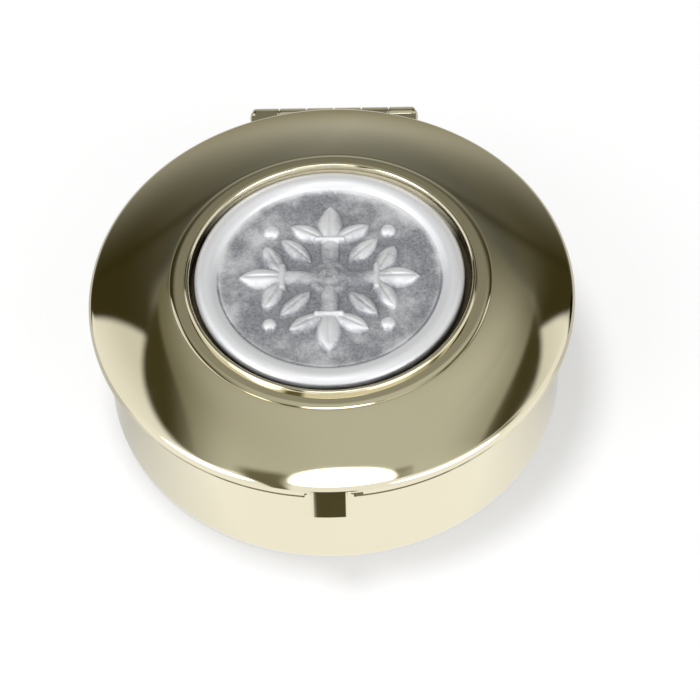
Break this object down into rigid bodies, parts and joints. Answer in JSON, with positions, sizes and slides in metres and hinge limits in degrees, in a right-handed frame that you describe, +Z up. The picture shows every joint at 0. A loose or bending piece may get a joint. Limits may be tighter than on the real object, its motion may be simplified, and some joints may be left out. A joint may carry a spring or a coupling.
{
  "type": "hinged pyx",
  "caption": "Small round hinged box of polished plated brass with a domed lid, a thumb tab and a pewter medallion set in a beaded bezel.",
  "frame": {"origin": "middle of the flat underside, on the axis of the round cup", "axes": "+Z up through the lid, +Y towards the hinge, -Y towards the thumb tab, +X to the right of someone facing the tab"},
  "size_m": [0.057, 0.0596, 0.0195],
  "materials": {
    "plated_brass": "mirror polished, pale gold plated",
    "pewter": "cast pewter, polished border and relief, grainy field",
    "bond": "clear cured bond"
  },
  "bodies": {
    "box": {"box_cup": "plated_brass", "box_hinge_leaf": "plated_brass", "hinge_pin": "plated_brass"},
    "lid": {"lid_shell": "plated_brass", "lid_hinge_leaf": "plated_brass", "medallion_bezel": "plated_brass", "medallion_bond": "bond", "medallion": "pewter"}
  },
  "joints": [
    {"name": "lid_hinge", "type": "hinge", "parent": "box", "child": "lid", "pos_m": [0, 0.0285, 0.0143], "axis": [-1, 0, 0], "range_deg": [0, 110]}
  ]
}
